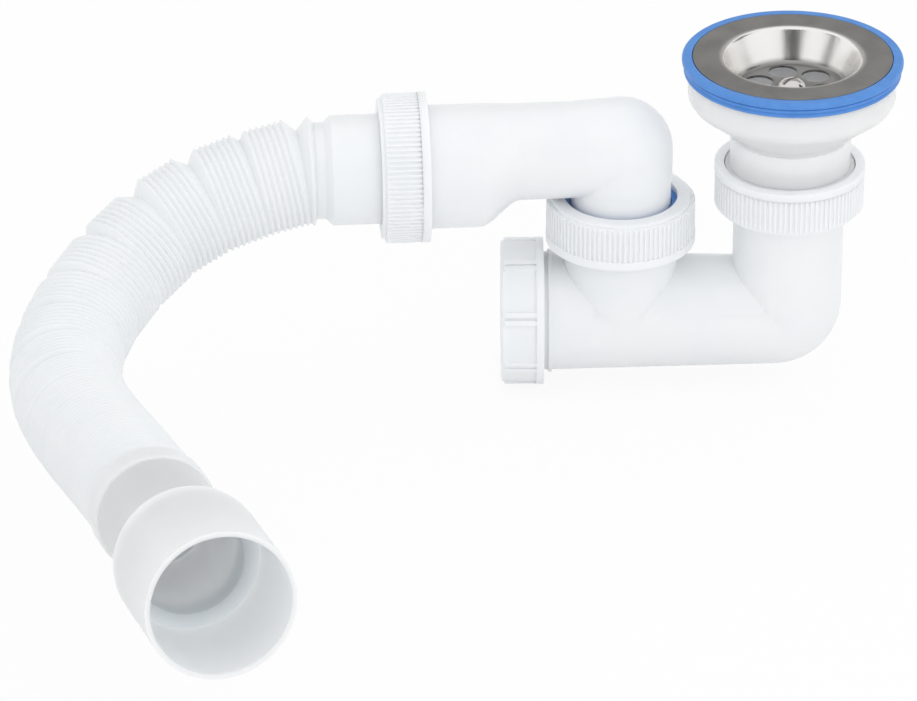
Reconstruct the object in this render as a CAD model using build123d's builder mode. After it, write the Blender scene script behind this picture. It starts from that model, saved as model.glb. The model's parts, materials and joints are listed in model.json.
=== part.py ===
"""Sink waste trap: strainer waste, tubular trap with cleanout, outlet elbow and flexible bellows hose.

Millimetres, +Z up. X runs along the trap's level tube towards the inlet, and -Y faces the viewer.
The origin is on the waste's axis, in the plane where the sink's sheet is clamped between the two gaskets.
"""

import os
from math import cos, radians, sin, tan

from build123d import *

os.makedirs("parts", exist_ok=True)

# Strainer and gaskets, stacked on the sink plane
strainer_r = 36.0
steel = 1.0
bowl_top_r = 25.0
bowl_floor_r = 19.0
bowl_depth = 11.7
bowl_edge_r = 2.0
drain_hole_r = 5.2
drain_hole_circle_r = 12.2
drain_hole_count = 6
drain_hole_turn = 42.0
gasket_lip = 3.9
gasket_land = 5.0
upper_gasket_height = 2.7
lower_gasket_height = 3.3
gasket_bead = 0.7

# Centre screw and the insert nut that it pulls on
screw_r = 3.0
screw_head_r = 5.2
screw_head = 2.8
screw_length = 22.0
screw_slot = 1.2
insert_r = 5.0
insert_length = 7.0
boss_wall = 1.8
boss_floor = 2.5
rib = 2.0
rib_count = 3

# Threads: one size for all the unions, with the steps down to the pipes that carry it
thread_r = 23.6
thread_length = 11.0
tail_step = 1.7
riser_step = 2.7
cleanout_step = 1.8
outlet_step = 1.1

# Waste body: a cup under the sink, tapering to a threaded tail
cup_inset = 2.3
cup_rim = 10.4
cup_rim_wall = 3.0
cup_bend_r = 6.0
cup_height = 23.4
wall = 1.9
neck_step = 1.3
neck_length = 1.4
tail_wall = 1.55
tail_length = 23.0

# Union nuts, three alike, and their cone seals
nut_wall = 2.7
nut_rim_height = 0.8
nut_length = 17.5
nut_lip = 2.4
nut_rim = 3.2
nut_step = 1.1
nut_step_length = 1.4
nut_ribs = 90
nut_rib = 0.95
nut_rib_height = 0.6
nut_rib_inset = 0.3
seal_length = 3.6
seal_taper = 1.9
seal_clearance = 0.1
lip_clearance = 0.4
slip_clearance = 0.25
thread_clearance = 0.3
open_lip_gap = 2.4

# Trap body: plain inlet pipe, tapered level tube, riser branch and cleanout neck
trap_drop = 100.3
inlet_insert = 16.0
bend_r = 4.7
riser_x = -61.4
riser_wall = 2.35
riser_nut_foot = 30.4
tube_end_x = -86.6
collar = 1.4
collar_height = 0.9
cleanout_neck = 1.9
cleanout_thread = 11.6

# Cleanout cap
cap_wall = 2.3
cap_rim_height = 1.0
cap_bar_height = 0.8
cap_rim = 2.8
cap_floor = 2.2
cap_round = 1.2
cap_bar = 1.9
cap_bar_pitch = 2.9
cap_bar_groups = 8
cap_bar_turn = 21.0
cap_gap = 1.6
flat_seal = 1.6

# Outlet elbow, turned a little towards the viewer on the riser
elbow_yaw = 3.8
elbow_draft = 1.1
elbow_leg_step = 0.4
elbow_shoulder = 12.0
leg_insert = 20.0
elbow_clearance = 1.2
socket_wall = 2.25
socket_start = 37.0
socket_full = 52.5
outlet_nut_end = 88.1
swell_sections = 6

# Flexible hose and its two cuffs
cuff_neck_step = 2.5
cuff_end = 105.5
cuff_chamfer = 2.5
cuff_insert = 14.0
hose_exit = 112.0
hose_step = 0.2
hose_wall = 3.8
hose_lead = 17.0
hose_route = [
    (-46, -10, -10),
    (-69, -27, -24),
    (-84, -55, -34),
    (-87, -87, -37),
    (-80, -118, -36),
    (-56, -176, -30),
    (-51, -192, -27.4),
]
route_bend_share = 0.45

# Far end of the hose: a rounded collar, a neck and a 50 mm spigot
end_collar = 10.0
end_collar_height = 1.0
end_neck = 34.5
end_neck_step = 1.0
end_collar_round = 0.9 * end_neck_step
shoulder = 8.0
spigot_r = 25.0
spigot = 41.5
spigot_wall = 1.7
spigot_depth = 39.5

# Radii that follow from the threads and clearances
gasket_r = strainer_r + gasket_lip
gasket_bore_r = strainer_r - gasket_land
cup_r = gasket_r - cup_inset
tail_r = thread_r - tail_step
neck_r = tail_r - neck_step
riser_r = thread_r - riser_step
tube_end_r = thread_r - cleanout_step
socket_r = thread_r - outlet_step
inlet_bore_r = tail_r - tail_wall
inlet_pipe_r = inlet_bore_r - slip_clearance
leg_bore_r = riser_r - riser_wall
elbow_leg_r = leg_bore_r - slip_clearance
elbow_body_r = elbow_leg_r + elbow_leg_step
elbow_tube_r = elbow_body_r - elbow_draft
cuff_bore_r = socket_r - socket_wall
cuff_r = cuff_bore_r - slip_clearance
cuff_neck_r = cuff_r - cuff_neck_step
hose_r = cuff_r - hose_step
hose_bore_r = hose_r - hose_wall
end_collar_r = hose_r + end_collar_height
end_neck_r = end_collar_r - end_neck_step
nut_bore_r = thread_r + thread_clearance
nut_core_r = nut_bore_r + nut_wall
nut_r = nut_core_r + nut_rim_height
collar_r = tube_end_r + collar_height
cap_panel_r = nut_bore_r + cap_wall
cap_r = cap_panel_r + cap_rim_height
cap_bar_r = cap_panel_r + cap_bar_height

# Heights that follow from the stack
flange_top = upper_gasket_height
cup_top = -lower_gasket_height
cup_foot = cup_top - cup_height
tail_top = cup_foot - neck_length
tail_foot = tail_top - tail_length
trap_z = -trap_drop
inlet_nut_foot = tail_foot - seal_length - nut_lip
riser_nut_top = trap_z + riser_nut_foot + nut_length
riser_top = riser_nut_top - nut_lip - seal_length
elbow_z = riser_nut_top + elbow_clearance + elbow_tube_r
outlet_z = elbow_z + elbow_tube_r - socket_r
outlet_end = outlet_nut_end - nut_lip - seal_length
collar_x = tube_end_x - collar
cleanout_end = collar_x - cleanout_neck - cleanout_thread
cap_inner = cleanout_end - flat_seal
outward = Vector(-cos(radians(elbow_yaw)), -sin(radians(elbow_yaw)), 0)
upward = Vector(0, 0, 1)


def axial(origin, direction):
    """Plane for turned profiles: x along the axis, y across it."""
    across = Vector(1, 0, 0) if abs(direction.Z) > 0.99 else upward
    return Plane(origin=origin, x_dir=direction, z_dir=direction.cross(across))


def turn(plane, profile, mode=Mode.ADD):
    """Turn a closed profile of (distance along the axis, radius) points into the open part."""
    with BuildSketch(plane) as section:
        with BuildLine():
            Polyline(*profile, close=True)
        make_face()
    revolve(section.sketch, axis=Axis(plane.origin, plane.x_dir), mode=mode)


def tube(plane, start, end, outer, inner):
    turn(plane, [(start, inner), (start, outer), (end, outer), (end, inner)])


def bore(plane, start, end, radius):
    turn(plane, [(start, 0), (start, radius), (end, radius), (end, 0)], Mode.SUBTRACT)


waste_axis = axial((0, 0, 0), upward)
riser_axis = axial((riser_x, 0, 0), upward)
trap_axis = axial((0, 0, trap_z), Vector(-1, 0, 0))
elbow_axis = axial((riser_x, 0, elbow_z), outward)
outlet_axis = axial((riser_x, 0, outlet_z), outward)

# Pressed steel strainer: flat flange, conical bowl and a perforated floor
floor_z = flange_top - bowl_depth
with BuildPart() as strainer:
    with BuildSketch(waste_axis):
        with BuildLine():
            Polyline(
                (floor_z, 0),
                (floor_z, bowl_floor_r),
                (flange_top, bowl_top_r),
                (flange_top, strainer_r),
                (flange_top - steel, strainer_r),
                (flange_top - steel, bowl_top_r + steel),
                (floor_z - steel, bowl_floor_r + steel),
                (floor_z - steel, 0),
                close=True,
            )
        make_face()
    revolve(axis=Axis.Z)
    rounded = [bowl_top_r, bowl_top_r + steel, bowl_floor_r, bowl_floor_r + steel]
    bends = [e for e in strainer.edges().filter_by(GeomType.CIRCLE) if any(abs(e.radius - r) < 0.01 for r in rounded)]
    fillet(bends, bowl_edge_r)
    with BuildSketch(Plane.XY.offset(floor_z)):
        with PolarLocations(drain_hole_circle_r, drain_hole_count, drain_hole_turn):
            Circle(drain_hole_r)
        Circle(screw_r + slip_clearance)
    extrude(amount=-2 * steel, mode=Mode.SUBTRACT)
strainer.part.label = "strainer"
export_step(strainer.part, "parts/strainer.step")

# Domed screw with a slot, standing on the strainer's floor
screw_tip = floor_z - screw_length
with BuildPart() as strainer_screw:
    with BuildSketch(waste_axis):
        with BuildLine():
            Polyline((floor_z, screw_head_r), (floor_z, screw_r), (screw_tip, screw_r), (screw_tip, 0))
            Line((screw_tip, 0), (floor_z + screw_head, 0))
            ThreePointArc(
                (floor_z + screw_head, 0),
                (floor_z + 0.72 * screw_head, 0.62 * screw_head_r),
                (floor_z, screw_head_r),
            )
        make_face()
    revolve(axis=Axis.Z)
    with Locations((0, 0, floor_z + screw_head)):
        Box(2 * screw_head_r, screw_slot, screw_head, rotation=(0, 0, 35), mode=Mode.SUBTRACT)
strainer_screw.part.label = "strainer_screw"
export_step(strainer_screw.part, "parts/strainer_screw.step")

# Rubber gaskets: the upper one holds the steel edge in a lip, the lower one seals on the cup
lip_r = strainer_r + slip_clearance
groove_r = gasket_r - gasket_bead
with BuildPart() as upper_gasket:
    turn(
        waste_axis,
        [
            (0, gasket_bore_r),
            (0, groove_r),
            (gasket_bead, gasket_r),
            (flange_top - gasket_bead, gasket_r),
            (flange_top, groove_r),
            (flange_top, lip_r),
            (flange_top - steel, lip_r),
            (flange_top - steel, gasket_bore_r),
        ],
    )
upper_gasket.part.label = "upper_gasket"
export_step(upper_gasket.part, "parts/upper_gasket.step")

with BuildPart() as lower_gasket:
    turn(
        waste_axis,
        [
            (cup_top, gasket_bore_r),
            (cup_top, groove_r - gasket_bead),
            (cup_top + 0.5 * gasket_bead, groove_r),
            (0.5 * cup_top - gasket_bead, groove_r),
            (0.5 * cup_top, groove_r - gasket_bead),
            (0.5 * cup_top + 0.5 * gasket_bead, groove_r),
            (-0.5 * gasket_bead, groove_r),
            (0, groove_r - gasket_bead),
            (0, gasket_bore_r),
        ],
    )
lower_gasket.part.label = "lower_gasket"
export_step(lower_gasket.part, "parts/lower_gasket.step")

# Waste body: rounded cup, ledge, threaded tail, and a ribbed boss for the screw
insert_top = screw_tip + insert_length
boss_r = insert_r + boss_wall
boss_foot = screw_tip - boss_floor
throat_r = neck_r - wall
inlet_top = tail_foot + inlet_insert
with BuildPart() as waste_body:
    turn(
        waste_axis,
        [
            (cup_top, 0),
            (cup_top, cup_r),
            (cup_top - cup_rim, cup_r),
            (cup_foot, neck_r),
            (tail_top, neck_r),
            (tail_top, tail_r),
            (tail_foot + thread_length, tail_r),
            (tail_foot + thread_length, thread_r),
            (tail_foot, thread_r),
            (tail_foot, 0),
        ],
    )
    fillet(waste_body.edges().filter_by(GeomType.CIRCLE).filter_by_position(
        Axis.Z, cup_top - cup_rim - 0.1, cup_top - cup_rim + 0.1), cup_bend_r)
    turn(
        waste_axis,
        [
            (cup_top, 0),
            (cup_top, cup_r - cup_rim_wall),
            (cup_top - cup_rim, cup_r - cup_rim_wall),
            (cup_foot, throat_r),
            (inlet_top + slip_clearance, throat_r),
            (inlet_top + slip_clearance, inlet_bore_r),
            (tail_foot, inlet_bore_r),
            (tail_foot, 0),
        ],
        Mode.SUBTRACT,
    )
    with BuildSketch(Plane.XY.offset(boss_foot)):
        Circle(boss_r)
        with PolarLocations(0, rib_count):
            Rectangle(throat_r + 0.5 * wall, rib, align=(Align.MIN, Align.CENTER))
    extrude(amount=insert_top - boss_foot)
    with Locations((0, 0, insert_top)):
        Hole(insert_r, insert_length)
waste_body.part.label = "waste_body"
export_step(waste_body.part, "parts/waste_body.step")

with BuildPart() as screw_insert:
    tube(waste_axis, screw_tip, insert_top, insert_r, screw_r)
screw_insert.part.label = "screw_insert"
export_step(screw_insert.part, "parts/screw_insert.step")


# Union nuts: a ribbed ring that screws on a thread and presses a cone seal with its lip
def union_nut(axis_plane, lip_bore_r):
    """Nut along the axis, with its lip's outer face at zero and its open end at -nut_length."""
    with BuildPart() as nut:
        turn(
            axis_plane,
            [
                (0, lip_bore_r),
                (0, nut_core_r - nut_step),
                (-nut_step_length, nut_core_r - nut_step),
                (-nut_step_length, nut_core_r),
                (nut_rim - nut_length, nut_core_r),
                (nut_rim - nut_length, nut_r),
                (-nut_length, nut_r),
                (-nut_length, nut_bore_r),
                (-nut_lip, nut_bore_r),
                (-nut_lip, lip_bore_r),
            ],
        )
        ribs_start = axis_plane.origin - axis_plane.x_dir * (nut_step_length + nut_rib_inset)
        with BuildSketch(Plane(ribs_start, z_dir=axis_plane.x_dir)):
            with PolarLocations(nut_core_r - nut_rib_inset, nut_ribs):
                Rectangle(nut_rib_height + nut_rib_inset, nut_rib, align=(Align.MIN, Align.CENTER))
        extrude(amount=-(nut_length - nut_step_length - nut_rim))
    return nut


def cone_seal(axis_plane, inner_r):
    """Cone washer between a nut's lip, at zero, and the pipe end that it seals."""
    back = seal_clearance - seal_length
    with BuildPart() as seal:
        turn(
            axis_plane,
            [
                (-seal_clearance, inner_r),
                (-seal_clearance, thread_r),
                (back, thread_r - seal_taper),
                (back, inner_r),
            ],
        )
    return seal


inlet_lip = axial((0, 0, inlet_nut_foot), Vector(0, 0, -1))
inlet_union_nut = union_nut(inlet_lip, inlet_pipe_r + lip_clearance)
inlet_union_nut.part.label = "inlet_union_nut"
export_step(inlet_union_nut.part, "parts/inlet_union_nut.step")

inlet_seal = cone_seal(axial((0, 0, inlet_nut_foot + nut_lip), Vector(0, 0, -1)), inlet_bore_r)
inlet_seal.part.label = "inlet_seal"
export_step(inlet_seal.part, "parts/inlet_seal.step")

riser_union_nut = union_nut(axial((riser_x, 0, riser_nut_top), upward), elbow_leg_r + open_lip_gap)
riser_union_nut.part.label = "riser_union_nut"
export_step(riser_union_nut.part, "parts/riser_union_nut.step")

riser_seal = cone_seal(axial((riser_x, 0, riser_nut_top - nut_lip), upward), leg_bore_r)
riser_seal.part.label = "riser_seal"
export_step(riser_seal.part, "parts/riser_seal.step")

outlet_origin = Vector(riser_x, 0, outlet_z)
outlet_lip = axial(outlet_origin + outward * outlet_nut_end, outward)
outlet_union_nut = union_nut(outlet_lip, cuff_r + lip_clearance)
outlet_union_nut.part.label = "outlet_union_nut"
export_step(outlet_union_nut.part, "parts/outlet_union_nut.step")

outlet_seal = cone_seal(axial(outlet_origin + outward * (outlet_nut_end - nut_lip), outward), cuff_bore_r)
outlet_seal.part.label = "outlet_seal"
export_step(outlet_seal.part, "parts/outlet_seal.step")


# Trap body: inlet pipe, tight bend, tapered tube, riser branch and cleanout neck
def trap_bend(radius, mode):
    """Quarter turn whose outside is a wide round and whose inside stays a crease."""
    with BuildSketch(Plane.XY.offset(trap_z + bend_r)) as half:
        Circle(radius)
        with Locations((-bend_r, 0)):
            Rectangle(2 * radius, 2 * radius, align=(Align.MAX, Align.CENTER), mode=Mode.SUBTRACT)
    corner = Axis((-bend_r, 0, trap_z + bend_r), (0, 1, 0))
    revolve(half.sketch, axis=corner, revolution_arc=90, mode=mode)


with BuildPart() as trap_body:
    turn(
        waste_axis,
        [
            (trap_z + bend_r, 0),
            (trap_z + bend_r, inlet_pipe_r),
            (inlet_top, inlet_pipe_r),
            (inlet_top, 0),
        ],
    )
    trap_bend(inlet_pipe_r, Mode.ADD)
    turn(
        trap_axis,
        [
            (bend_r, 0),
            (bend_r, inlet_pipe_r),
            (-tube_end_x, tube_end_r),
            (-tube_end_x, collar_r),
            (-collar_x, collar_r),
            (-collar_x, tube_end_r),
            (cleanout_neck - collar_x, tube_end_r),
            (cleanout_neck - collar_x, thread_r),
            (-cleanout_end, thread_r),
            (-cleanout_end, 0),
        ],
    )
    turn(
        riser_axis,
        [
            (trap_z, 0),
            (trap_z, riser_r),
            (riser_top - thread_length, riser_r),
            (riser_top - thread_length, thread_r),
            (riser_top, thread_r),
            (riser_top, 0),
        ],
    )
    bore(waste_axis, trap_z + bend_r, inlet_top, inlet_pipe_r - wall)
    trap_bend(inlet_pipe_r - wall, Mode.SUBTRACT)
    turn(
        trap_axis,
        [
            (bend_r, 0),
            (bend_r, inlet_pipe_r - wall),
            (-cleanout_end, tube_end_r - wall),
            (-cleanout_end, 0),
        ],
        Mode.SUBTRACT,
    )
    bore(riser_axis, trap_z, riser_top, leg_bore_r)
trap_body.part.label = "trap_body"
export_step(trap_body.part, "parts/trap_body.step")

# Cleanout cap with grip bars, and its flat seal
cap_open = -collar_x + cap_gap
cap_back = -cap_inner + cap_floor
with BuildPart() as cleanout_cap:
    turn(
        trap_axis,
        [
            (cap_open, nut_bore_r),
            (cap_open, cap_r),
            (cap_open + cap_rim, cap_r),
            (cap_open + cap_rim, cap_panel_r),
            (cap_back, cap_panel_r),
            (cap_back, 0),
            (-cap_inner, 0),
            (-cap_inner, nut_bore_r),
        ],
    )
    fillet(cleanout_cap.edges().filter_by(GeomType.CIRCLE).group_by(Axis.X)[0], cap_round)
    with BuildSketch(Plane(trap_axis.origin + trap_axis.x_dir * (cap_open + cap_rim), z_dir=trap_axis.x_dir)):
        with PolarLocations(0, cap_bar_groups, cap_bar_turn):
            with Locations((cap_panel_r - cap_round, -0.5 * cap_bar_pitch), (cap_panel_r - cap_round, 0.5 * cap_bar_pitch)):
                Rectangle(cap_bar_r - cap_panel_r + cap_round, cap_bar, align=(Align.MIN, Align.CENTER))
    extrude(amount=cap_back - cap_open - cap_rim - cap_round)
cleanout_cap.part.label = "cleanout_cap"
export_step(cleanout_cap.part, "parts/cleanout_cap.step")

with BuildPart() as cleanout_seal:
    tube(trap_axis, seal_clearance - cleanout_end, -cap_inner - seal_clearance, thread_r, tube_end_r - wall)
cleanout_seal.part.label = "cleanout_seal"
export_step(cleanout_seal.part, "parts/cleanout_seal.step")


# Outlet elbow: domed corner on a leg, level tube, and a socket that is flush along its top
def swell(inset, mode):
    """Loft from the tube to the socket, with the top kept straight and the underside dropping."""
    rings = []
    for step in range(swell_sections + 1):
        share = step / swell_sections
        radius = elbow_tube_r + (socket_r - elbow_tube_r) * share * share * (3 - 2 * share)
        along = socket_start + (socket_full - socket_start) * share
        centre = Vector(riser_x, 0, elbow_z + elbow_tube_r - radius) + outward * along
        with BuildSketch(Plane(centre, x_dir=upward, z_dir=outward)) as ring:
            Circle(radius - inset)
        rings.append(ring.sketch.faces()[0])
    loft(rings, mode=mode)


leg_foot = riser_top - leg_insert
with BuildPart() as outlet_elbow:
    with Locations((riser_x, 0, elbow_z)):
        Sphere(elbow_body_r)
    turn(
        riser_axis,
        [
            (leg_foot, 0),
            (leg_foot, elbow_leg_r),
            (elbow_z - elbow_shoulder, elbow_leg_r),
            (elbow_z - elbow_shoulder, elbow_body_r),
            (elbow_z, elbow_body_r),
            (elbow_z, 0),
        ],
    )
    turn(
        elbow_axis,
        [
            (0, 0),
            (0, elbow_body_r),
            (elbow_body_r, elbow_tube_r),
            (socket_start, elbow_tube_r),
            (socket_start, 0),
        ],
    )
    swell(0, Mode.ADD)
    turn(
        outlet_axis,
        [
            (socket_full, 0),
            (socket_full, socket_r),
            (outlet_end - thread_length, socket_r),
            (outlet_end - thread_length, thread_r),
            (outlet_end, thread_r),
            (outlet_end, 0),
        ],
    )
    with Locations((riser_x, 0, elbow_z)):
        Sphere(elbow_leg_r - wall, mode=Mode.SUBTRACT)
    bore(riser_axis, leg_foot, elbow_z, elbow_leg_r - wall)
    bore(elbow_axis, 0, socket_start, elbow_tube_r - wall)
    swell(wall, Mode.SUBTRACT)
    bore(outlet_axis, socket_full, outlet_end, cuff_bore_r)
outlet_elbow.part.label = "outlet_elbow"
export_step(outlet_elbow.part, "parts/outlet_elbow.step")

# Hose: near cuff in the socket, flexible length along the route, stepped far end
with BuildPart() as hose_cuff:
    turn(
        outlet_axis,
        [
            (outlet_end - cuff_insert, hose_bore_r),
            (outlet_end - cuff_insert, cuff_r),
            (cuff_end, cuff_r),
            (cuff_end + cuff_chamfer, cuff_neck_r),
            (hose_exit, cuff_neck_r),
            (hose_exit, hose_bore_r),
        ],
    )
hose_cuff.part.label = "hose_cuff"
export_step(hose_cuff.part, "parts/hose_cuff.step")

exit_point = outlet_origin + outward * hose_exit
route = [exit_point, exit_point + outward * hose_lead]
route += [exit_point + Vector(*offset) for offset in hose_route]
runs = [b - a for a, b in zip(route, route[1:])]
radii = []
for before, after in zip(runs, runs[1:]):
    half_turn = radians(before.get_angle(after)) / 2
    radii.append(route_bend_share * min(before.length, after.length) / tan(half_turn))
print("hose bend radii", [round(radius) for radius in radii])
with BuildPart() as drain_hose:
    with BuildLine() as route_line:
        FilletPolyline(*route, radius=radii)
    with BuildSketch(Plane(exit_point, z_dir=runs[0])):
        Circle(hose_r)
        Circle(hose_bore_r, mode=Mode.SUBTRACT)
    sweep(path=route_line.wires()[0])
drain_hose.part.label = "drain_hose"
export_step(drain_hose.part, "parts/drain_hose.step")
print("hose length", round(route_line.wires()[0].length, 1))

end_axis = axial(route[-1], runs[-1].normalized())
neck_end = end_collar + end_neck
spigot_start = neck_end + shoulder
mouth = spigot_start + spigot
ledge = mouth - spigot_depth
with BuildPart() as end_cuff:
    with BuildSketch(end_axis):
        with BuildLine():
            Polyline(
                (mouth, spigot_r),
                (mouth, spigot_r - spigot_wall),
                (ledge, spigot_r - spigot_wall),
                (ledge, end_neck_r - spigot_wall),
                (end_collar, end_neck_r - spigot_wall),
                (end_collar, hose_bore_r),
                (0, hose_bore_r),
                (0, end_collar_r),
                (end_collar, end_collar_r),
                (end_collar, end_neck_r),
                (neck_end, end_neck_r),
            )
            Line((mouth, spigot_r), (spigot_start, spigot_r))
            TangentArc((spigot_start, spigot_r), (neck_end, end_neck_r), tangent=(-1, 0))
        make_face()
    revolve(axis=Axis(end_axis.origin, end_axis.x_dir))
    rims = end_cuff.edges().filter_by(GeomType.CIRCLE)
    fillet([rim for rim in rims if abs(rim.radius - end_collar_r) < 0.01], end_collar_round)
end_cuff.part.label = "end_cuff"
export_step(end_cuff.part, "parts/end_cuff.step")
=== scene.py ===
import json
import math
import bpy
from mathutils import Matrix, Vector


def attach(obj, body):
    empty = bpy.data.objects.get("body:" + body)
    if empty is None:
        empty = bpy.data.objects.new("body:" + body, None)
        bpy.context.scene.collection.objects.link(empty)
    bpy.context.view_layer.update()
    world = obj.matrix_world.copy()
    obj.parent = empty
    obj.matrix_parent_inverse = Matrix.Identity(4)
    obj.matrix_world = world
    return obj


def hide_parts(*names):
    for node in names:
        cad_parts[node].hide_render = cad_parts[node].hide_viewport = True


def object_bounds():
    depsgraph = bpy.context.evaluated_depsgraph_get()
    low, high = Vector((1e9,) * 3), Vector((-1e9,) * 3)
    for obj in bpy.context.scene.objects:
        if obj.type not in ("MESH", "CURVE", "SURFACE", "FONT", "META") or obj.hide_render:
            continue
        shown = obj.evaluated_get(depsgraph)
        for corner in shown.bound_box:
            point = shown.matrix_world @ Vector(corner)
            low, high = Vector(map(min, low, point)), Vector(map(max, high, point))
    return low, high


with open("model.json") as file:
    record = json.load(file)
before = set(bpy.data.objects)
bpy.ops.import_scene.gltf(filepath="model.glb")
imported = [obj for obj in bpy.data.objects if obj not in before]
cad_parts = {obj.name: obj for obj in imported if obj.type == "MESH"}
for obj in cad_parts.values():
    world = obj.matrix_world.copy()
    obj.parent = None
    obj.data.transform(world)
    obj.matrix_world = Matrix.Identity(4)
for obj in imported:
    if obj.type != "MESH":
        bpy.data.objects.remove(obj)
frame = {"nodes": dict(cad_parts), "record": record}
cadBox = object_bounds()

mm = 0.001
scene = bpy.context.scene
scene.view_settings.view_transform = "Standard"
print("frame loaded:", len(frame["nodes"]), "nodes")


# camera at the photo's angle, long lens from above the front
cameraSetup = {
    "elevation": 28.6,
    "roll": -0.37,
    "distance": 1929 * mm,
    "target": Vector((-121.0, 0, -117.05)) * mm,
    "sensor": 36.0,
    "focalPixels": 5200,
    "photoWidth": 917,
    "farthest": 20,
}


def placeCamera(setup):
    elevation = math.radians(setup["elevation"])
    look = Vector((0, math.cos(elevation), -math.sin(elevation)))
    level = Vector((1, 0, 0))
    right = Matrix.Rotation(math.radians(setup["roll"]), 3, -look) @ level
    upright = right.cross(look)
    data = bpy.data.cameras.new("photoCamera")
    data.sensor_width = setup["sensor"]
    data.sensor_fit = "HORIZONTAL"
    data.lens = setup["sensor"] * setup["focalPixels"] / setup["photoWidth"]
    data.clip_end = setup["farthest"]
    camera = bpy.data.objects.new("photoCamera", data)
    scene.collection.objects.link(camera)
    turned = Matrix((right, upright, -look)).transposed().to_4x4()
    camera.matrix_world = Matrix.Translation(setup["target"] - look * setup["distance"]) @ turned
    scene.camera = camera


placeCamera(cameraSetup)


# shader helpers: a Wire is a socket that can be used in sums
class Wire:
    def __init__(self, finish, socket):
        self.finish = finish
        self.socket = socket

    def sum(self, operation, first, second):
        return self.finish.add("ShaderNodeMath", {"operation": operation}, {0: first, 1: second})

    def __add__(self, other):
        return self.sum("ADD", self, other)

    def __radd__(self, other):
        return self.sum("ADD", other, self)

    def __sub__(self, other):
        return self.sum("SUBTRACT", self, other)

    def __rsub__(self, other):
        return self.sum("SUBTRACT", other, self)

    def __mul__(self, other):
        return self.sum("MULTIPLY", self, other)

    def __rmul__(self, other):
        return self.sum("MULTIPLY", other, self)


class Finish:
    def __init__(self, tree):
        self.tree = tree
        tree.nodes.clear()

    # any node: its settings first, then the values or links of its sockets
    def add(self, kind, settings=None, inputs=None, output=0):
        node = self.tree.nodes.new(kind)
        for name, value in (settings or {}).items():
            setattr(node, name, value)
        for name, value in (inputs or {}).items():
            if isinstance(value, Wire):
                self.tree.links.new(value.socket, node.inputs[name])
            else:
                node.inputs[name].default_value = value
        return Wire(self, node.outputs[output]) if node.outputs else node

    def noise(self, place, scale, detail=2.0, roughness=0.5):
        sockets = {"Vector": place, "Scale": scale, "Detail": detail, "Roughness": roughness}
        return self.add("ShaderNodeTexNoise", None, sockets)

    def smooth(self, value, low, high):
        ends = {"Value": value, "From Min": low, "From Max": high}
        return self.add("ShaderNodeMapRange", {"interpolation_type": "SMOOTHSTEP"}, ends)

    def mixColour(self, factor, first, second):
        sockets = {"Factor": factor, 6: first, 7: second}
        return self.add("ShaderNodeMix", {"data_type": "RGBA"}, sockets, 2)


def newFinish(name):
    material = bpy.data.materials.new(name)
    material.use_nodes = True
    return material, Finish(material.node_tree)


def closeFinish(finish, sockets, height=None, bumpDepth=0.0):
    if height is not None:
        bump = {"Height": height, "Distance": bumpDepth, "Strength": 1.0}
        sockets["Normal"] = finish.add("ShaderNodeBump", None, bump)
    surface = finish.add("ShaderNodeBsdfPrincipled", None, sockets)
    finish.add("ShaderNodeOutputMaterial", None, {"Surface": surface})


# satin white polypropylene: faint clouding, flow marks and a fine moulded grain
plasticLooks = {
    "mouldedPlastic": {
        "tone": (0.894, 0.911, 0.927, 1), "shade": (0.876, 0.898, 0.917, 1), "rough": 0.36,
        "depth": 0.35, "reach": 3.0 * mm,
    },
    "cupPlastic": {
        "tone": (0.915, 0.930, 0.944, 1), "shade": (0.900, 0.919, 0.936, 1), "rough": 0.36,
        "depth": 0.8, "reach": 6.0 * mm,
    },
    "nutPlastic": {
        "tone": (0.892, 0.908, 0.924, 1), "shade": (0.872, 0.894, 0.914, 1), "rough": 0.40,
        "depth": 0.4, "reach": 2.0 * mm,
    },
    "hosePlastic": {
        "tone": (0.872, 0.892, 0.904, 1), "shade": (0.850, 0.874, 0.890, 1), "rough": 0.38,
        "depth": 0.2, "reach": 2.0 * mm,
    },
    "cuffPlastic": {
        "tone": (0.862, 0.903, 0.934, 1), "shade": (0.848, 0.892, 0.926, 1), "rough": 0.36,
        "depth": 1.0, "reach": 10.0 * mm,
    },
}
plasticGrain = {
    "cloudScale": 45,
    "cloudRange": (0.35, 0.7),
    "flowScale": 320,
    "flowRough": 0.08,
    "flowBump": 0.6,
    "grainScale": 2600,
    "grainRough": 0.04,
    "grainBump": 0.4,
    "bump": 0.02 * mm,
    "ior": 1.49,
}
noiseMiddle = 0.5


def plastic(name):
    look = plasticLooks[name]
    material, finish = newFinish(name)
    place = finish.add("ShaderNodeTexCoord", None, None, "Object")
    cloud = finish.noise(place, plasticGrain["cloudScale"], detail=3)
    flow = finish.noise(place, plasticGrain["flowScale"], detail=4, roughness=0.6)
    grain = finish.noise(place, plasticGrain["grainScale"], detail=2)
    clouding = finish.smooth(cloud, *plasticGrain["cloudRange"])
    colour = finish.mixColour(clouding, look["tone"], look["shade"])
    rough = look["rough"] + plasticGrain["flowRough"] * (flow - noiseMiddle)
    rough = rough + plasticGrain["grainRough"] * (grain - noiseMiddle)
    sockets = {"Base Color": colour, "Roughness": rough, "IOR": plasticGrain["ior"]}
    sockets["Subsurface Weight"] = look["depth"]
    sockets["Subsurface Radius"] = (1.0, 1.0, 1.0)
    sockets["Subsurface Scale"] = look["reach"]
    height = flow * plasticGrain["flowBump"] + grain * plasticGrain["grainBump"]
    closeFinish(finish, sockets, height, plasticGrain["bump"])
    return material


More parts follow.
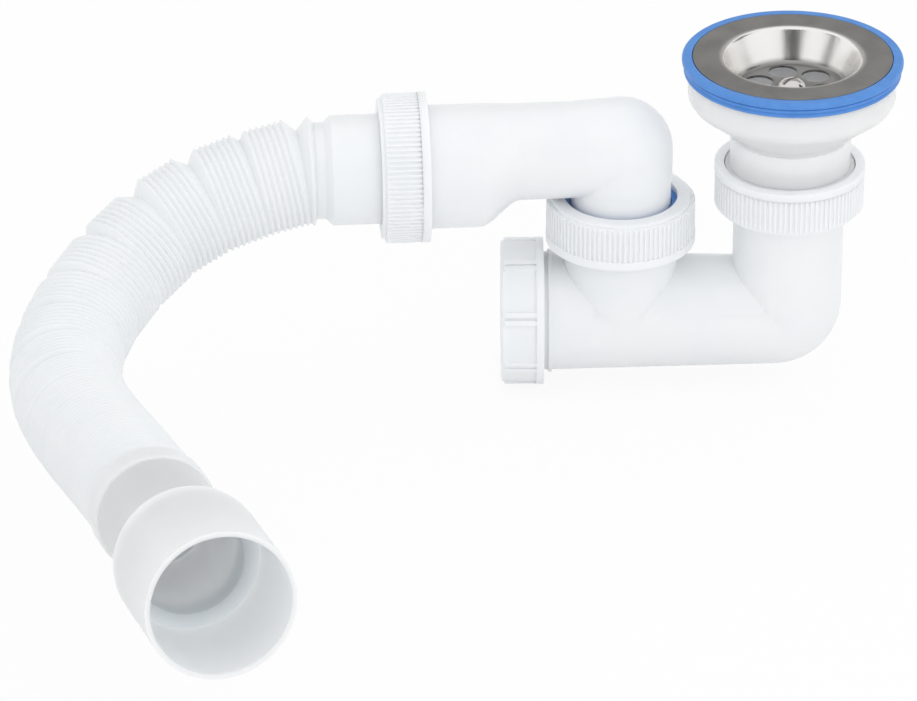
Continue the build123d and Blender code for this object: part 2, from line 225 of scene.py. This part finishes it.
# blue rubber: matte, a little mottled
rubberLook = {
    "blue": (0.092, 0.285, 0.71, 1),
    "dull": (0.076, 0.245, 0.64, 1),
    "mottleScale": 160,
    "mottleRange": (0.3, 0.75),
    "grainScale": 3200,
    "rough": 0.42,
    "grainRough": 0.12,
    "shine": 0.4,
    "bump": 0.02 * mm,
}


def rubber(name):
    material, finish = newFinish(name)
    place = finish.add("ShaderNodeTexCoord", None, None, "Object")
    mottle = finish.noise(place, rubberLook["mottleScale"], detail=4, roughness=0.6)
    grain = finish.noise(place, rubberLook["grainScale"], detail=2)
    mottling = finish.smooth(mottle, *rubberLook["mottleRange"])
    colour = finish.mixColour(mottling, rubberLook["blue"], rubberLook["dull"])
    rough = rubberLook["rough"] + rubberLook["grainRough"] * (grain - noiseMiddle)
    sockets = {"Base Color": colour, "Roughness": rough, "Specular IOR Level": rubberLook["shine"]}
    closeFinish(finish, sockets, grain, rubberLook["bump"])
    return material


# pressed steel: flange with a turned brushing and broad clouds of painted sheen, bowl's wall polished,
# its floor painted darker as painted shade
steelLook = {
    "flange": (0.33, 0.325, 0.32, 1),
    # lighter flange tone, laid by the turned brushing grain and by broad clouds of painted sheen
    "flangeSheen": (0.42, 0.412, 0.40, 1),
    "bowl": (0.90, 0.89, 0.87, 1),
    # the bowl's floor tone is painted shade: darker at the bottom of the recess, with the same roughness
    # as the wall
    "floor": (0.26, 0.258, 0.255, 1),
    "bowlRadius": 26.0 * mm,
    "bend": 1.2 * mm,
    "floorLevel": -9.0 * mm,
    "brushScale": 2600,
    "brushShare": 0.5,
    "brushRange": (0.38, 0.62),
    "brushRough": 0.12,
    "cloudScale": 90,
    "sheenCloudShare": 0.5,
    "cloudRough": 0.06,
    "bowlRough": 0.26,
    "flangeRougher": 0.07,
    "bump": 0.03 * mm,
}


def pressedSteel(name):
    material, finish = newFinish(name)
    place = finish.add("ShaderNodeTexCoord", None, None, "Object")
    flat = finish.add("ShaderNodeVectorMath", {"operation": "MULTIPLY"}, {0: place, 1: (1, 1, 0)})
    radius = finish.add("ShaderNodeVectorMath", {"operation": "LENGTH"}, {0: flat}, "Value")
    ring = finish.add("ShaderNodeCombineXYZ", None, {"X": radius, "Y": 0.0, "Z": 0.0})
    brush = finish.noise(ring, steelLook["brushScale"], detail=3, roughness=0.6)
    cloud = finish.noise(place, steelLook["cloudScale"], detail=3)
    edge = steelLook["bowlRadius"]
    onFlange = finish.smooth(radius, edge - steelLook["bend"], edge + steelLook["bend"])
    height = finish.add("ShaderNodeSeparateXYZ", None, {"Vector": place}, "Z")
    bottom = steelLook["floorLevel"] + steelLook["bend"]
    onWall = finish.smooth(height, bottom - steelLook["bend"], bottom + steelLook["bend"])
    # below floorLevel the bowl turns from the wall's bright tone to the floor's painted shade
    bowl = finish.mixColour(onWall, steelLook["floor"], steelLook["bowl"])
    # the brushing grain is the steel's own; the broad clouds mixed in with it are painted sheen standing
    # in for the brushed metal's highlights
    marks = brush * steelLook["brushShare"] + cloud * steelLook["sheenCloudShare"]
    brushingAndSheen = finish.smooth(marks, *steelLook["brushRange"])
    flange = finish.mixColour(brushingAndSheen, steelLook["flange"], steelLook["flangeSheen"])
    colour = finish.mixColour(onFlange, bowl, flange)
    flangeRough = steelLook["flangeRougher"] + steelLook["brushRough"] * (brush - noiseMiddle)
    rough = steelLook["bowlRough"] + onFlange * flangeRough
    rough = rough + steelLook["cloudRough"] * (cloud - noiseMiddle)
    sockets = {"Base Color": colour, "Metallic": 1.0, "Roughness": rough}
    closeFinish(finish, sockets, brush * onFlange, steelLook["bump"])
    return material


# plain metals: screw and insert
metalLooks = {
    "polishedSteel": {"colour": (0.68, 0.67, 0.66, 1), "rough": 0.14},
    "turnedBrass": {"colour": (0.72, 0.52, 0.22, 1), "rough": 0.3},
}
metalScuff = {"scale": 700, "rough": 0.1, "bump": 0.02 * mm}


def plainMetal(name):
    look = metalLooks[name]
    material, finish = newFinish(name)
    place = finish.add("ShaderNodeTexCoord", None, None, "Object")
    scuff = finish.noise(place, metalScuff["scale"], detail=4, roughness=0.65)
    rough = look["rough"] + metalScuff["rough"] * (scuff - noiseMiddle)
    sockets = {"Base Color": look["colour"], "Metallic": 1.0, "Roughness": rough}
    closeFinish(finish, sockets, scuff, metalScuff["bump"])
    return material


materials = {name: plastic(name) for name in plasticLooks}
materials.update({name: plainMetal(name) for name in metalLooks})
materials["blueRubber"] = rubber("blueRubber")
materials["pressedSteel"] = pressedSteel("pressedSteel")
print("finishes made:", len(materials))


# bodies come from the record
bodyOf = {node: body for body, nodes in frame["record"]["behaviour"]["bodies"].items() for node in nodes}


def deselect():
    if bpy.context.mode != "OBJECT":
        bpy.ops.object.mode_set(mode="OBJECT")
    bpy.ops.object.select_all(action="DESELECT")


def makeActive(piece):
    deselect()
    piece.select_set(True)
    bpy.context.view_layer.objects.active = piece


# the mouldings: each solid's mesh is merged, its edges eased and its rounds shaded smooth
solidDressing = {
    "strainer": {"piece": "strainerPlate", "finish": "pressedSteel", "ease": 0.15 * mm},
    "strainer_screw": {"piece": "centreScrew", "finish": "polishedSteel", "ease": 0.15 * mm},
    "upper_gasket": {"piece": "upperGasket", "finish": "blueRubber", "ease": 0.25 * mm},
    "lower_gasket": {"piece": "lowerGasket", "finish": "blueRubber", "ease": 0.25 * mm},
    "waste_body": {"piece": "wasteCup", "finish": "cupPlastic", "ease": 0.3 * mm},
    "screw_insert": {"piece": "screwInsert", "finish": "turnedBrass", "ease": 0.2 * mm},
    "inlet_union_nut": {"piece": "inletNut", "finish": "nutPlastic", "ease": 0.12 * mm},
    "inlet_seal": {"piece": "inletWasher", "finish": "blueRubber", "ease": 0.2 * mm},
    "trap_body": {"piece": "trapTube", "finish": "mouldedPlastic", "ease": 0.3 * mm},
    "cleanout_cap": {"piece": "cleanoutCap", "finish": "nutPlastic", "ease": 0.15 * mm},
    "cleanout_seal": {"piece": "cleanoutWasher", "finish": "blueRubber", "ease": 0.2 * mm},
    "riser_union_nut": {"piece": "riserNut", "finish": "nutPlastic", "ease": 0.12 * mm},
    "riser_seal": {"piece": "riserWasher", "finish": "blueRubber", "ease": 0.2 * mm},
    "outlet_elbow": {"piece": "outletElbow", "finish": "mouldedPlastic", "ease": 0.3 * mm},
    "outlet_union_nut": {"piece": "outletNut", "finish": "nutPlastic", "ease": 0.12 * mm},
    "outlet_seal": {"piece": "outletWasher", "finish": "blueRubber", "ease": 0.2 * mm},
    "hose_cuff": {"piece": "nearCuff", "finish": "hosePlastic", "ease": 0.3 * mm},
    "end_cuff": {"piece": "farCuff", "finish": "cuffPlastic", "ease": 0.4 * mm},
}
easing = {
    "merge": 0.002 * mm,
    "flat": math.radians(0.4),
    "corner": math.radians(38),
    "round": math.radians(32),
    "steps": 2,
}


def dressSolid(node, dressing):
    mesh = frame["nodes"][node].data.copy()
    piece = bpy.data.objects.new(dressing["piece"], mesh)
    scene.collection.objects.link(piece)
    makeActive(piece)
    bpy.ops.object.mode_set(mode="EDIT")
    bpy.ops.mesh.select_all(action="SELECT")
    bpy.ops.mesh.remove_doubles(threshold=easing["merge"])
    bpy.ops.mesh.dissolve_limited(angle_limit=easing["flat"])
    bpy.ops.object.mode_set(mode="OBJECT")
    soften = piece.modifiers.new("easedEdges", "BEVEL")
    soften.width = dressing["ease"]
    soften.segments = easing["steps"]
    soften.limit_method = "ANGLE"
    soften.angle_limit = easing["corner"]
    bpy.ops.object.modifier_apply(modifier=soften.name)
    bpy.ops.object.shade_smooth_by_angle(angle=easing["round"])
    even = piece.modifiers.new("evenShading", "WEIGHTED_NORMAL")
    even.keep_sharp = True
    bpy.ops.object.modifier_apply(modifier=even.name)
    mesh.materials.clear()
    mesh.materials.append(materials[dressing["finish"]])
    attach(piece, bodyOf[node])
    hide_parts(node)
    return piece


pieces = {node: dressSolid(node, dressing) for node, dressing in solidDressing.items()}
print("solids dressed:", len(pieces))


# the hose: groups of nested ridges, opened to a sharp valley on the outside of each bend
hose = {
    "radius": 19.8 * mm,
    "wall": 1.0 * mm,
    "startRadius": 17.4 * mm,
    "tuck": 0.6 * mm,  # the first ring stands this far inside the near cuff
    "ridgePitch": 2.25 * mm,
    "ridgeDepth": 1.1 * mm,
    "ridgesInGroup": 7,
    "notchDepth": 4.8 * mm,
    "notchTurn": math.radians(9),  # groups turned this far apart open fully
    "straight": math.radians(0.2),  # groups turned less than this stay closed
    "fan": 0.1,  # share of the bend that the ridges of one group follow
    "leadRidges": 1,  # ridges between the near cuff and the first whole group
    "sides": 128,
    "crease": math.radians(55),
    "lineSteps": 40,
    "settlingSteps": 12,
    "exit": Vector((-173.154, -7.423, -38.5)) * mm,
    "outward": Vector((-0.99780, -0.06627, 0.0)),
    "lead": 9 * mm,
    "route": [
        (-46, -10, -10),
        (-69, -27, -24),
        (-84, -55, -34),
        (-87, -87, -37),
        (-80, -118, -36),
        (-56, -176, -30),
        (-51, -192, -27.4),
    ],
}


# points of the route's smooth line
def hoseLine():
    route = [hose["exit"], hose["exit"] + hose["outward"] * hose["lead"]]
    route += [hose["exit"] + Vector(offset) * mm for offset in hose["route"]]
    data = bpy.data.curves.new("hoseRoute", "CURVE")
    data.dimensions = "3D"
    data.resolution_u = hose["lineSteps"]
    spline = data.splines.new("NURBS")
    spline.points.add(len(route) - 1)
    for point, place in zip(spline.points, route):
        point.co = (*place, 1)
    spline.order_u = 3
    spline.use_endpoint_u = True
    guide = bpy.data.objects.new("hoseRoute", data)
    scene.collection.objects.link(guide)
    bpy.context.view_layer.update()
    line = bpy.data.meshes.new_from_object(guide)
    points = [vertex.co.copy() for vertex in line.vertices]
    bpy.data.objects.remove(guide)
    bpy.data.meshes.remove(line)
    return points


class Line:
    def __init__(self, points):
        self.points = points
        self.reach = [0.0]
        for before, after in zip(points, points[1:]):
            self.reach.append(self.reach[-1] + (after - before).length)
        self.length = self.reach[-1]

    def at(self, distance):
        distance = min(max(distance, 0.0), self.length)
        index = 1
        while index < len(self.reach) - 1 and self.reach[index] < distance:
            index += 1
        share = (distance - self.reach[index - 1]) / (self.reach[index] - self.reach[index - 1])
        return self.points[index - 1].lerp(self.points[index], share)

    def heading(self, distance, step=1.0 * mm):
        distance = min(max(distance, 0.0), self.length)
        return (self.at(distance + step) - self.at(distance - step)).normalized()


# middles of the groups: neighbours touch on the inside of the bend
def groupMiddles(line):
    pitch = hose["ridgePitch"]
    span = hose["ridgesInGroup"] * pitch
    middles = [(0.5 * hose["leadRidges"] * pitch, hose["leadRidges"])]
    edge = hose["leadRidges"] * pitch
    while edge < line.length - pitch:
        before = line.heading(middles[-1][0])
        middle = edge + 0.5 * span
        for _ in range(hose["settlingSteps"]):
            turn = before.angle(line.heading(middle))
            middle = edge + hose["radius"] * (1 - hose["fan"]) * turn + 0.5 * span
        count = hose["ridgesInGroup"]
        if middle + 0.5 * span > line.length:
            count = max(1, int((line.length - middle + 0.5 * span) / pitch))
            middle += 0.5 * (count * pitch - span)
        middles.append((middle, count))
        edge = middle + 0.5 * count * pitch
    return middles


# one ridge, from valley to valley: (share of the pitch, share of the depth)
ridgeShape = [(0.0, 1.0), (0.25, 0.50), (0.42, 0.08), (0.50, 0.0), (0.58, 0.08), (0.75, 0.50)]


# one ring of points: a lined ring has the inner wall's points too
def plainRing(centre, heading, drop, lined=False):
    ring = {"centre": centre, "heading": heading, "drop": drop, "lined": lined}
    ring.update({"notch": 0.0, "outside": None})
    return ring


# rings of one group: nearly parallel, fanned a little along the bend
def groupRings(line, middle, count):
    rings = []
    for ridge in range(count):
        for place, depth in ridgeShape:
            if ridge == 0 and place == 0.0:
                continue  # the open valley before the group, or the hose's start, stands there
            along = (ridge + place - 0.5 * count) * hose["ridgePitch"]
            straight = line.at(middle) + line.heading(middle) * along
            centre = straight.lerp(line.at(middle + along), hose["fan"])
            heading = line.heading(middle).lerp(line.heading(middle + along), hose["fan"]).normalized()
            rings.append(plainRing(centre, heading, depth * hose["ridgeDepth"]))
    return rings


# the sharp valley between two groups, deepest on the outside of the bend
def openValley(before, after):
    swing = before["heading"].angle(after["heading"])
    outside = before["heading"] - after["heading"]
    heading = (before["heading"] + after["heading"]).normalized()
    ring = plainRing(before["centre"].lerp(after["centre"], 0.5), heading, hose["ridgeDepth"], True)
    if swing > hose["straight"]:
        ring["notch"] = min(1.0, swing / hose["notchTurn"]) * (hose["notchDepth"] - hose["ridgeDepth"])
        ring["outside"] = outside.normalized()
    return ring


def hoseRings(line):
    start = hose["exit"] - hose["outward"] * hose["tuck"]
    rings = [plainRing(start, hose["outward"], hose["radius"] - hose["startRadius"], True)]
    for middle, count in groupMiddles(line):
        group = groupRings(line, middle, count)
        if len(rings) > 1:
            rings.append(openValley(rings[-1], group[0]))
        rings += group
    rings.append(plainRing(line.at(line.length), line.heading(line.length), hose["ridgeDepth"], True))
    return rings


# the quads between neighbouring rings of points
def skinFaces(first, ringCount):
    sides = hose["sides"]
    faces = []
    for ring in range(ringCount - 1):
        row = first + ring * sides
        for side in range(sides):
            beside = (side + 1) % sides
            faces.append((row + side, row + beside, row + beside + sides, row + side + sides))
    return faces


def buildHose():
    line = Line(hoseLine())
    rings = hoseRings(line)
    sides = hose["sides"]
    across = rings[0]["heading"].cross(Vector((0, 0, 1))).normalized()
    outer = []
    inner = []
    for ring in rings:
        across = (across - ring["heading"] * across.dot(ring["heading"])).normalized()
        over = ring["heading"].cross(across)
        for side in range(sides):
            angle = 2 * math.pi * side / sides
            spoke = across * math.cos(angle) + over * math.sin(angle)
            opened = 0.5 + 0.5 * spoke.dot(ring["outside"]) if ring["outside"] else 0.0
            reach = hose["radius"] - ring["drop"] - ring["notch"] * opened
            outer.append(ring["centre"] + spoke * reach)
            if ring["lined"]:
                inner.append(ring["centre"] + spoke * (reach - hose["wall"]))
    faces = skinFaces(0, len(rings)) + skinFaces(len(outer), len(inner) // sides)
    ends = [(0, len(outer)), (len(outer) - sides, len(outer) + len(inner) - sides)]
    for outside, lining in ends:
        for side in range(sides):
            beside = (side + 1) % sides
            faces.append((outside + side, lining + side, lining + beside, outside + beside))
    mesh = bpy.data.meshes.new("bellowsHose")
    mesh.from_pydata(outer + inner, [], faces)
    mesh.update()
    piece = bpy.data.objects.new("bellowsHose", mesh)
    scene.collection.objects.link(piece)
    makeActive(piece)
    bpy.ops.object.mode_set(mode="EDIT")
    bpy.ops.mesh.select_all(action="SELECT")
    bpy.ops.mesh.normals_make_consistent(inside=False)
    bpy.ops.object.mode_set(mode="OBJECT")
    bpy.ops.object.shade_smooth_by_angle(angle=hose["crease"])
    mesh.materials.append(materials["hosePlastic"])
    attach(piece, bodyOf["drain_hose"])
    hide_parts("drain_hose")
    print("hose:", len(groupMiddles(line)), "groups,", round(line.length / mm, 1), "mm")


buildHose()


# floor: near white to the camera and in reflections, with a faint shadow kept
stageSetup = {"gap": 0.3 * mm, "size": 6.0, "glow": 0.90, "tone": (0.9, 0.9, 0.9, 1)}


def seenDirectly(finish):
    kinds = ("Is Camera Ray", "Is Glossy Ray", "Is Transmission Ray")
    camera, glossy, through = [finish.add("ShaderNodeLightPath", None, None, kind) for kind in kinds]
    clamped = {"operation": "ADD", "use_clamp": True}
    return finish.add("ShaderNodeMath", clamped, {0: camera + glossy, 1: through})


def layFloor():
    level = cadBox[0][2] - stageSetup["gap"]
    deselect()
    bpy.ops.mesh.primitive_plane_add(size=stageSetup["size"], location=(0, 0, level))
    floor = bpy.context.object
    floor.name = "paleFloor"
    material, finish = newFinish("paleFloor")
    matte = finish.add("ShaderNodeBsdfDiffuse", None, {"Color": stageSetup["tone"]})
    white = finish.add("ShaderNodeEmission", None, {"Color": (1, 1, 1, 1), "Strength": 1.0})
    share = seenDirectly(finish) * stageSetup["glow"]
    both = finish.add("ShaderNodeMixShader", None, {0: share, 1: matte, 2: white})
    finish.add("ShaderNodeOutputMaterial", None, {"Surface": both})
    floor.data.materials.append(material)


layFloor()


# cards that only reflections show: dark round the camera and at the tent's gaps, grey behind
cards = {
    "cameraSide": {"place": (-0.12, -1.95, 0.95), "size": (1.1, 1.6), "tone": (0.02, 0.02, 0.02, 1)},
    "leftGap": {"place": (-1.58, -0.35, 0.95), "size": (0.55, 0.9), "tone": (0.04, 0.04, 0.04, 1)},
    "rightGap": {"place": (1.50, 0.30, 0.95), "size": (0.65, 1.1), "tone": (0.04, 0.04, 0.04, 1)},
    "farSide": {"place": (0.0, 1.75, 0.95), "size": (3.4, 1.7), "tone": (0.47, 0.46, 0.45, 1)},
}
cardsFace = Vector((0, 0, 0))


def standCards():
    for name, card in cards.items():
        facing = (cardsFace - Vector(card["place"])).to_track_quat("Z", "Y").to_euler()
        deselect()
        bpy.ops.mesh.primitive_plane_add(size=1, location=card["place"], rotation=facing)
        plane = bpy.context.object
        plane.name = name
        plane.scale = (*card["size"], 1)
        plane.visible_camera = False
        plane.visible_diffuse = False
        plane.visible_transmission = False
        plane.visible_shadow = False
        material, finish = newFinish(name)
        tone = finish.add("ShaderNodeEmission", None, {"Color": card["tone"], "Strength": 1.0})
        finish.add("ShaderNodeOutputMaterial", None, {"Surface": tone})
        plane.data.materials.append(material)


standCards()


# soft tent light: bright surroundings, a weak lamp overhead and a fill from the camera's side
lamps = {
    "overhead": {"place": (0.25, 0.2, 1.3), "aim": (-0.12, 0, -0.05), "size": 1.6, "power": 0.8},
    "frontFill": {"place": (0.5, -1.6, 0.6), "aim": (0.0, 0, -0.05), "size": 1.2, "power": 4.0},
}
surroundings = 0.97


def lightScene():
    for name, lamp in lamps.items():
        data = bpy.data.lights.new(name, "AREA")
        data.size = lamp["size"]
        data.energy = lamp["power"]
        light = bpy.data.objects.new(name, data)
        scene.collection.objects.link(light)
        light.visible_glossy = False
        light.location = lamp["place"]
        aim = Vector(lamp["aim"]) - Vector(lamp["place"])
        light.rotation_euler = aim.to_track_quat("-Z", "Y").to_euler()
    world = bpy.data.worlds.new("whiteTent")
    world.use_nodes = True
    scene.world = world
    finish = Finish(world.node_tree)
    plain = finish.add("ShaderNodeBackground", None, {"Color": (1, 1, 1, 1), "Strength": surroundings})
    white = finish.add("ShaderNodeBackground", None, {"Color": (1, 1, 1, 1), "Strength": 1.0})
    both = finish.add("ShaderNodeMixShader", None, {0: seenDirectly(finish), 1: plain, 2: white})
    finish.add("ShaderNodeOutputWorld", None, {"Surface": both})


lightScene()
print("stage and light set")
